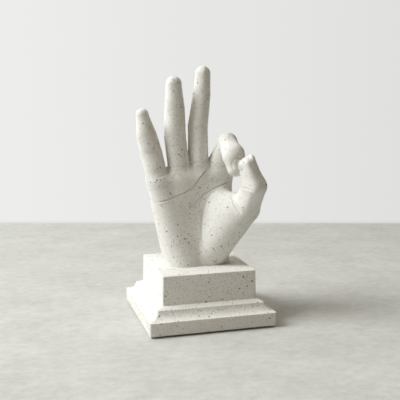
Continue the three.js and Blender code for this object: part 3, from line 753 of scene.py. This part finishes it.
# Ridge over the back of a palm's bone, from part of the way along it to the knuckle
def ridgeForm(points, finger):
    ridge = hand["ridge"]
    wrist, knuckle = palmEnds(finger, -hand["armBelow"])
    ends = []
    for share, half, rise in zip((ridge["share"], 0), ridge["half"], ridge["rise"]):
        back = hand["knuckleFlesh"][1] + (hand["wristFlesh"][2] - hand["knuckleFlesh"][1]) * share
        ends.append(knuckle + (wrist - knuckle) * share + (0, back + rise - half, 0))
    return mound(points, (*ends, ridge["half"], ridge["half"], ridge["half"], handBack))


def thumbBones():
    bones = []
    for start, end, turn in zip(thumb["joints"], thumb["joints"][1:], np.radians(thumb["turn"])):
        bone = boneFrame(start, end, thumb["nailward"])
        bones.append(boneFrame(start, end, bone["out"] * math.cos(turn) + bone["side"] * math.sin(turn)))
    return bones


def thumbForms(points):
    half = thumb["half"]
    ovals = [(h, h * f, h * f) for h, f in zip(half, thumb["flatness"])]
    root, shaft, tip = [
        flesh(points, bone, tapered(ovals[i], ovals[i + 1]), half[i:i + 2], thumb["squareness"] if i else 2.0)
        for i, bone in enumerate(thumbBones())]
    corner = flesh(points, boneFrame(*thumb["corner"], thumb["nailward"]), tapered(*thumb["cornerHalf"]),
                   thumb["cornerCaps"])
    start, facing = (np.array(thumb[key], dtype=points.dtype) for key in ("slopeFrom", "slopeFacing"))
    above = (points - start) @ facing
    return root, shaft, carve(blend(tip, corner, thumb["cornerFillet"]), -above, thumb["slopeFillet"])


# A size that changes with height, from the first value below to the second above
def byHeight(points, heights, values):
    share = np.clip((points[:, 2] - heights[0]) / (heights[1] - heights[0]), 0, 1)
    return values[0] + (values[1] - values[0]) * share * share * (3 - 2 * share)


# Distance to the hand's skin, negative inside
def handField(points):
    slabs = [palmForm(points, f) for f in fingers.values()] + [mound(points, hand["heel"])]
    slab = blendAll(slabs, hand["palmFillet"])
    slab = blendAll([slab] + [ridgeForm(points, f) for f in fingers.values()], hand["ridgeFillet"])
    centre, half = (np.array(v, dtype=points.dtype) for v in hand["cup"])
    hollow = (np.sqrt((((points - centre) / half) ** 2).sum(1)) - 1) * half.min()
    palm = carve(slab, hollow, hand["cupFillet"])
    root, shaft, tip = thumbForms(points)
    ball = blend(root, mound(points, hand["thenar"]), hand["palmFillet"])
    ball = blend(ball, mound(points, hand["web"]), hand["webFillet"])
    palm = blend(palm, ball, byHeight(points, *hand["thenarFillet"]))
    raised = [fingerForm(points, f) for f in fingers.values()]
    body = blend(palm, blendAll(raised, byHeight(points, *hand["gapFillet"])),
                 byHeight(points, *hand["fingerFillet"]))
    return blend(body, blend(shaft, tip, hand["jointFillet"]), byHeight(points, *hand["touchFillet"]))


# Field values on a fine grid, worked out only near the skin: far blocks keep the value at their corner
def fineGrid(low, high, cell, step=4, reach=1.8):
    counts = np.ceil((high - low) / (cell * step)).astype(int) + 1
    corners = np.stack(np.meshgrid(*[np.arange(n) for n in counts], indexing="ij"), -1).reshape(-1, 3)
    rough = handField((low + corners * cell * step).astype(np.float32)).reshape(counts)
    values = rough.repeat(step, 0).repeat(step, 1).repeat(step, 2)
    near = np.abs(values) < cell * step * reach
    places = np.argwhere(near)
    values[near] = handField((low + places * cell).astype(np.float32))
    return values


# Fills the grid's faces that only two opposite corners are inside of, where the net would touch itself
def fillTouches(values, depth=0.01):
    found = 1
    while found:
        found = 0
        for u, w in ((0, 1), (1, 2), (2, 0)):
            inside = values < 0
            right, up = np.roll(inside, -1, u), np.roll(inside, -1, w)
            across = np.roll(right, -1, w)
            touching = np.argwhere((inside == across) & (right == up) & (inside != right))
            found += len(touching)
            for shift in (np.zeros(3, dtype=int), np.eye(3, dtype=int)[u]):
                spots = tuple((touching + shift).T)
                values[spots] = np.minimum(values[spots], -depth)
    return values


# Surface net: a point in each cell that the skin crosses, and a quad round each grid edge that it cuts
def skinNet(values):
    inside = values < 0
    corners = [(a, b, c) for c in (0, 1) for b in (0, 1) for a in (0, 1)]
    shape = tuple(n - 1 for n in values.shape)
    count = sum(inside[a:a + shape[0], b:b + shape[1], c:c + shape[2]].astype(np.int8) for a, b, c in corners)
    crossed = (count > 0) & (count < len(corners))
    cells = np.argwhere(crossed)
    number = np.full(shape, -1)
    number[crossed] = np.arange(len(cells))
    at = {c: values[tuple((cells + c).T)] for c in corners}
    total, hits = np.zeros((len(cells), 3)), np.zeros(len(cells))
    for axis in range(3):
        for c in corners:
            if c[axis]:
                continue
            d = tuple(v + (n == axis) for n, v in enumerate(c))
            cut = (at[c] < 0) != (at[d] < 0)
            share = at[c][cut] / (at[c][cut] - at[d][cut])
            spot = np.tile(np.array(c, dtype=float), (len(share), 1))
            spot[:, axis] += share
            total[cut] += spot
            hits[cut] += 1
    points = cells + total / hits[:, None]

    quads = []
    for axis in range(3):
        here = inside[1:-1, 1:-1, 1:-1]
        ahead = np.roll(inside, -1, axis)[1:-1, 1:-1, 1:-1]
        edges = np.argwhere(here != ahead) + 1
        u, w = np.eye(3, dtype=int)[(axis + 1) % 3], np.eye(3, dtype=int)[(axis + 2) % 3]
        ring = [number[tuple((edges - a * u - b * w).T)] for a, b in ((0, 0), (1, 0), (1, 1), (0, 1))]
        quad = np.stack(ring, 1)
        outward = inside[tuple(edges.T)]
        quad[~outward] = quad[~outward][:, ::-1]
        quads.append(quad)
    return points, np.concatenate(quads)


def slopeOf(points, step=0.05):
    return np.stack([(handField(points + shift) - handField(points - shift)) / (2 * step)
                     for shift in np.eye(3) * step], 1)


# Draws points onto the skin, down the field's slope
def settle(points, rounds=2, leastSlope=0.25):
    for _ in range(rounds):
        slope = slopeOf(points)
        points = points - slope * (handField(points) / np.maximum((slope ** 2).sum(1), leastSlope))[:, None]
    return points


# Evens out the net: each point moves halfway to the middle of its neighbours, then back onto the skin
def relax(points, quads, rounds=3):
    ends = np.concatenate([quads[:, [n, (n + 1) % 4]] for n in range(4)])
    for _ in range(rounds):
        total, count = np.zeros_like(points), np.zeros(len(points))
        for a, b in ((0, 1), (1, 0)):
            np.add.at(total, ends[:, a], points[ends[:, b]])
            np.add.at(count, ends[:, a], 1)
        points = settle(points * 0.5 + total / count[:, None] * 0.5, rounds=1)
    return points


# Lines cut into the palm's side, as [x, z] points; fade is the share of the line over which each end runs out
creases = {
    "heart": {
        "depth": 1.0, "half": 0.6, "fade": (0.12, 0.1),
        "points": ((-41, 58.4), (-38.5, 59), (-27.4, 62), (-17.2, 66.3), (-8.4, 71.3), (-0.7, 79.7),
                   (4.4, 84.7), (8.6, 90.4))},
    "head": {
        "depth": 1.0, "half": 0.6, "fade": (0.05, 0.35),
        "points": ((26.9, 75), (18.1, 72.2), (12.2, 69.8), (4.4, 65.3), (-1.8, 60), (-7.4, 54.8),
                   (-12.5, 48.5), (-15.2, 43.7))},
    "life": {
        "depth": 0.6, "half": 1.1, "fade": (0.25, 0.4),
        "points": ((17.1, 70.3), (12.1, 67), (7.5, 62.5), (3.9, 53.5), (2.1, 41.6), (0.8, 28.5),
                   (1.6, 18.8), (4.4, 9.4))},
    "littleBase": {
        "depth": 0.4, "half": 0.7, "fade": (0.4, 0.1), "points": ((-39.5, 80.8), (-33.1, 83.3), (-27, 85.2))},
    "ringBase": {
        "depth": 0.6, "half": 0.6, "fade": (0.1, 0.1),
        "points": ((-26.5, 88.8), (-19.6, 90.6), (-11.8, 91.6))},
    "middleBase": {
        "depth": 0.6, "half": 0.6, "fade": (0.1, 0.1), "points": ((-9.4, 92.2), (-1, 94.1), (7.5, 95))},
    "foreBase": {
        "depth": 0.5, "half": 0.6, "fade": (0.1, 0.4),
        "points": ((10.6, 94.4), (12, 92.7), (14.9, 89.8), (19, 87.9))},
    "littleMiddle": {
        "depth": 0.28, "half": 0.75, "fade": (0.35, 0.35),
        "points": ((-50.6, 102.2), (-43, 103.2), (-35.9, 103.7))},
    "littleEnd": {
        "depth": 0.22, "half": 0.75, "fade": (0.35, 0.35),
        "points": ((-54.6, 117.8), (-47, 118.8), (-40.5, 119.6))},
    "ringMiddle": {
        "depth": 0.45, "half": 0.65, "fade": (0.3, 0.3),
        "points": ((-30.3, 116.2), (-22.8, 116.8), (-13, 117.3))},
    "ringEnd": {
        "depth": 0.24, "half": 0.75, "fade": (0.35, 0.35),
        "points": ((-30, 140), (-22.5, 140.5), (-15.2, 140.3))},
    "middleMiddle": {
        "depth": 0.45, "half": 0.65, "fade": (0.3, 0.3), "points": ((-8.6, 124.2), (0, 124.9), (7.8, 124.8))},
    "middleEnd": {
        "depth": 0.2, "half": 0.75, "fade": (0.35, 0.35),
        "points": ((-4.5, 152.8), (3.5, 153.4), (11, 153.2))},
    "thumbEnd": {
        "depth": 0.35, "half": 0.8, "fade": (0.1, 0.3),
        "points": ((28.2, 75), (29.6, 74.5), (31.6, 73.8), (35.6, 72))},
    "thumbMiddle": {
        "depth": 1.1, "half": 0.9, "fade": (0.1, 0.3),
        "points": ((23.4, 64.5), (24, 62.5), (24.9, 57.3), (29.4, 50.2))},
}
lips = {"rise": 0.22, "away": 2.2}  # beside each crease, as shares of its depth and half width
# Nails: place past the last bone's end, half length and half width, all as shares of the tip's half width
nails = {
    "little": (-0.35, 0.8, 0.64), "ring": (-0.35, 0.8, 0.64), "middle": (-0.35, 0.8, 0.64),
    "fore": (-0.4, 0.66, 0.56), "thumb": (-0.2, 0.95, 0.8), "squareness": 3.0,
    "reach": 2, "reachOut": 3,  # along and across, and out of the bone, as shares of the nail's half sizes
    "plate": 0.15, "edge": 0.35, "rimSoft": 0.15, "groove": 0.45, "grooveAway": 0.3, "grooveHalf": 0.5,
}
# Folds over the back of the finger joints: how many each side of the middle one, and their spacing
wrinkles = {
    "counts": (2, 1), "gap": 1.9, "depth": 0.3, "half": 0.55, "bow": 0.05, "fade": 0.75,
    "reach": 8, "reachAcross": 1.5, "reachOut": 1.6,  # along the bone, and as shares of its half width
}


# A smooth run through [x, z] points, in even steps
def smoothRun(points, gap=0.4):
    runs = []
    for i in range(len(points) - 1):
        count = max(int(math.dist(points[i], points[i + 1]) / gap), 1)
        share = np.arange(count) / count
        runs.append(np.stack([eased([p[n] for p in points], i, share) for n in (0, 1)], 1))
    return np.concatenate(runs + [np.array(points[-1:])])


# Where lines from the front first meet the skin, for [x, z] points
def dropped(flat, nearest=-75, farthest=15, step=0.5):
    depths = np.arange(nearest, farthest, step)
    x, z = (np.repeat(flat[:, n], len(depths)) for n in (0, 1))
    within = handField(np.stack([x, np.tile(depths, len(flat)), z], 1)).reshape(len(flat), -1) < 0
    return settle(np.stack([flat[:, 0], depths[np.argmax(within, 1)], flat[:, 1]], 1))


# The points close to a line, how far each is from it, and how far along the line it is
def nearLine(points, path, reach=4):
    near = np.flatnonzero(((points > path.min(0) - reach) & (points < path.max(0) + reach)).all(1))
    gaps = np.linalg.norm(points[near][:, None] - path[None], axis=2)
    return near, gaps.min(1), gaps.argmin(1) / (len(path) - 1)


# How far along, across and out of a bone each point is
def boneCoordinates(points, bone):
    reach = points - bone["start"]
    return reach @ bone["axis"], reach @ bone["side"], reach @ bone["out"]


# The last bones with their nails' places and half sizes
def nailPlaces():
    ends = [(fingerBones(f)[2], f["half"][3], nails[name]) for name, f in fingers.items()]
    ends.append((thumbBones()[2], thumb["half"][3], nails["thumb"]))
    return [(bone, bone["length"] + half * place, half * long, half * wide)
            for bone, half, (place, long, wide) in ends]


# Distance from a nail's outline, the share along the nail, and whether the point is on its side of the finger
def nailOutline(points, bone, centre, long, wide):
    along, across, depth = boneCoordinates(points, bone)
    along = along - centre
    power = nails["squareness"]
    ratio = (np.abs(along / long) ** power + np.abs(across / wide) ** power) ** (1 / power)
    beside = ((depth > 0) & (depth < wide * nails["reachOut"]) & (np.abs(along) < long * nails["reach"])
              & (np.abs(across) < wide * nails["reach"]))
    return (ratio - 1) * min(long, wide), along / long, beside


# Points close to a line or to a nail, where the skin needs finer facets
def detailed(points, paths, margin=1.0, nailMargin=1.5):
    chosen = np.zeros(len(points), dtype=bool)
    for name, path in paths.items():
        near, gap, _ = nearLine(points, path)
        chosen[near[gap < creases[name]["half"] * 2 + margin]] = True
    for nail in nailPlaces():
        away, _, beside = nailOutline(points, *nail)
        chosen |= beside & (away < nailMargin)
    return chosen


# Each of these adds to push, which is how far each point of the skin moves outwards
def pressCreases(push, points, paths):
    for name, path in paths.items():
        line = creases[name]
        near, gap, share = nearLine(points, path)
        strength = np.clip(np.minimum(share / line["fade"][0], (1 - share) / line["fade"][1]), 0, 1)
        gap = gap / line["half"]
        profile = np.exp(-gap ** 2) - lips["rise"] * np.exp(-(gap - lips["away"]) ** 2)
        push[near] -= line["depth"] * strength * profile


def raiseNails(push, points, steepest=40):
    for nail in nailPlaces():
        away, along, beside = nailOutline(points, *nail)
        plate = nails["plate"] + nails["edge"] * np.clip(along, 0, 1)
        rise = plate / (1 + np.exp(np.clip(away / nails["rimSoft"], -steepest, steepest)))
        groove = nails["groove"] * np.exp(-((away - nails["grooveAway"]) / nails["grooveHalf"]) ** 2)
        push += np.where(beside, rise - groove, 0)


def foldJoints(push, points):
    for finger in (fingers[name] for name in ("little", "ring", "middle")):
        for bone, half, count in zip(fingerBones(finger), finger["half"][1:], wrinkles["counts"]):
            along, across, depth = boneCoordinates(points, bone)
            along = along - bone["length"]
            beside = ((depth > 0) & (depth < half * wrinkles["reachOut"])
                      & (np.abs(across) < half * wrinkles["reachAcross"])
                      & (np.abs(along) < wrinkles["reach"]))
            folds = 0
            for n in range(-count, count + 1):
                off = along - n * wrinkles["gap"] - wrinkles["bow"] * n * across ** 2 / half
                folds = folds + np.exp(-(off / wrinkles["half"]) ** 2)
            fade = np.exp(-(across / half / wrinkles["fade"]) ** 2)
            push -= np.where(beside, wrinkles["depth"] * folds * fade, 0)


# An even net of quads on the skin, down to a little below the wrist's plane
def handSkin():
    reach = [(0, 0, -hand["armBelow"]), *thumb["joints"]]
    for finger in fingers.values():
        for bone in fingerBones(finger):
            reach += [bone["start"], bone["start"] + bone["axis"] * bone["length"]]
    low, high = np.min(reach, 0) - hand["margin"], np.max(reach, 0) + hand["margin"]
    points, quads = skinNet(fillTouches(fineGrid(low, high, hand["cell"])))
    return relax(settle(low + points * hand["cell"]), quads), quads


def handMesh():
    points, quads = handSkin()
    print("hand: skin of", len(quads), "quads")

    paths = {name: dropped(smoothRun(line["points"])) for name, line in creases.items()}
    body = bmesh.new()
    corners = [body.verts.new(p) for p in points]
    for quad in quads:
        body.faces.new([corners[n] for n in quad])
    body.verts.index_update()
    chosen = detailed(points, paths)
    edges = [e for e in body.edges if chosen[e.verts[0].index] and chosen[e.verts[1].index]]
    bmesh.ops.subdivide_edges(body, edges=edges, cuts=1, use_grid_fill=True)

    points = settle(np.array([v.co for v in body.verts]), rounds=1)
    push = np.zeros(len(points))
    pressCreases(push, points, paths)
    raiseNails(push, points)
    foldJoints(push, points)
    slope = slopeOf(points)
    slope /= np.linalg.norm(slope, axis=1)[:, None]
    for vert, place in zip(body.verts, points + slope * push[:, None]):
        vert.co = place
    print("hand: creases, nails and folds on", len(body.faces), "faces")

    everything = body.verts[:] + body.edges[:] + body.faces[:]
    bmesh.ops.bisect_plane(body, geom=everything, plane_co=(0, 0, 0), plane_no=(0, 0, -1), clear_outer=True)
    closeEnds(body, (0,), wristHoles)
    return inMetres(body, dieTop, hand["sharpFrom"])


handPiece = newPiece("castHand", handMesh(), handFinish, "speckled_stone", "hand_casting")
print("hand:", len(handPiece.data.polygons), "faces")

# Rod, sleeve, nut, washers and dowels keep their own solids
fittings = {
    "tie_stud": zincFinish, "clamp_washer": zincFinish, "spring_washer": zincFinish, "clamp_nut": zincFinish,
    "wrist_pin": zincFinish, "die_pin": zincFinish, "wrist_insert": brassFinish,
}
for name, finish in fittings.items():
    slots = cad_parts[name].data.materials
    slots.clear()
    slots.append(finish)
print("fittings dressed:", len(fittings))
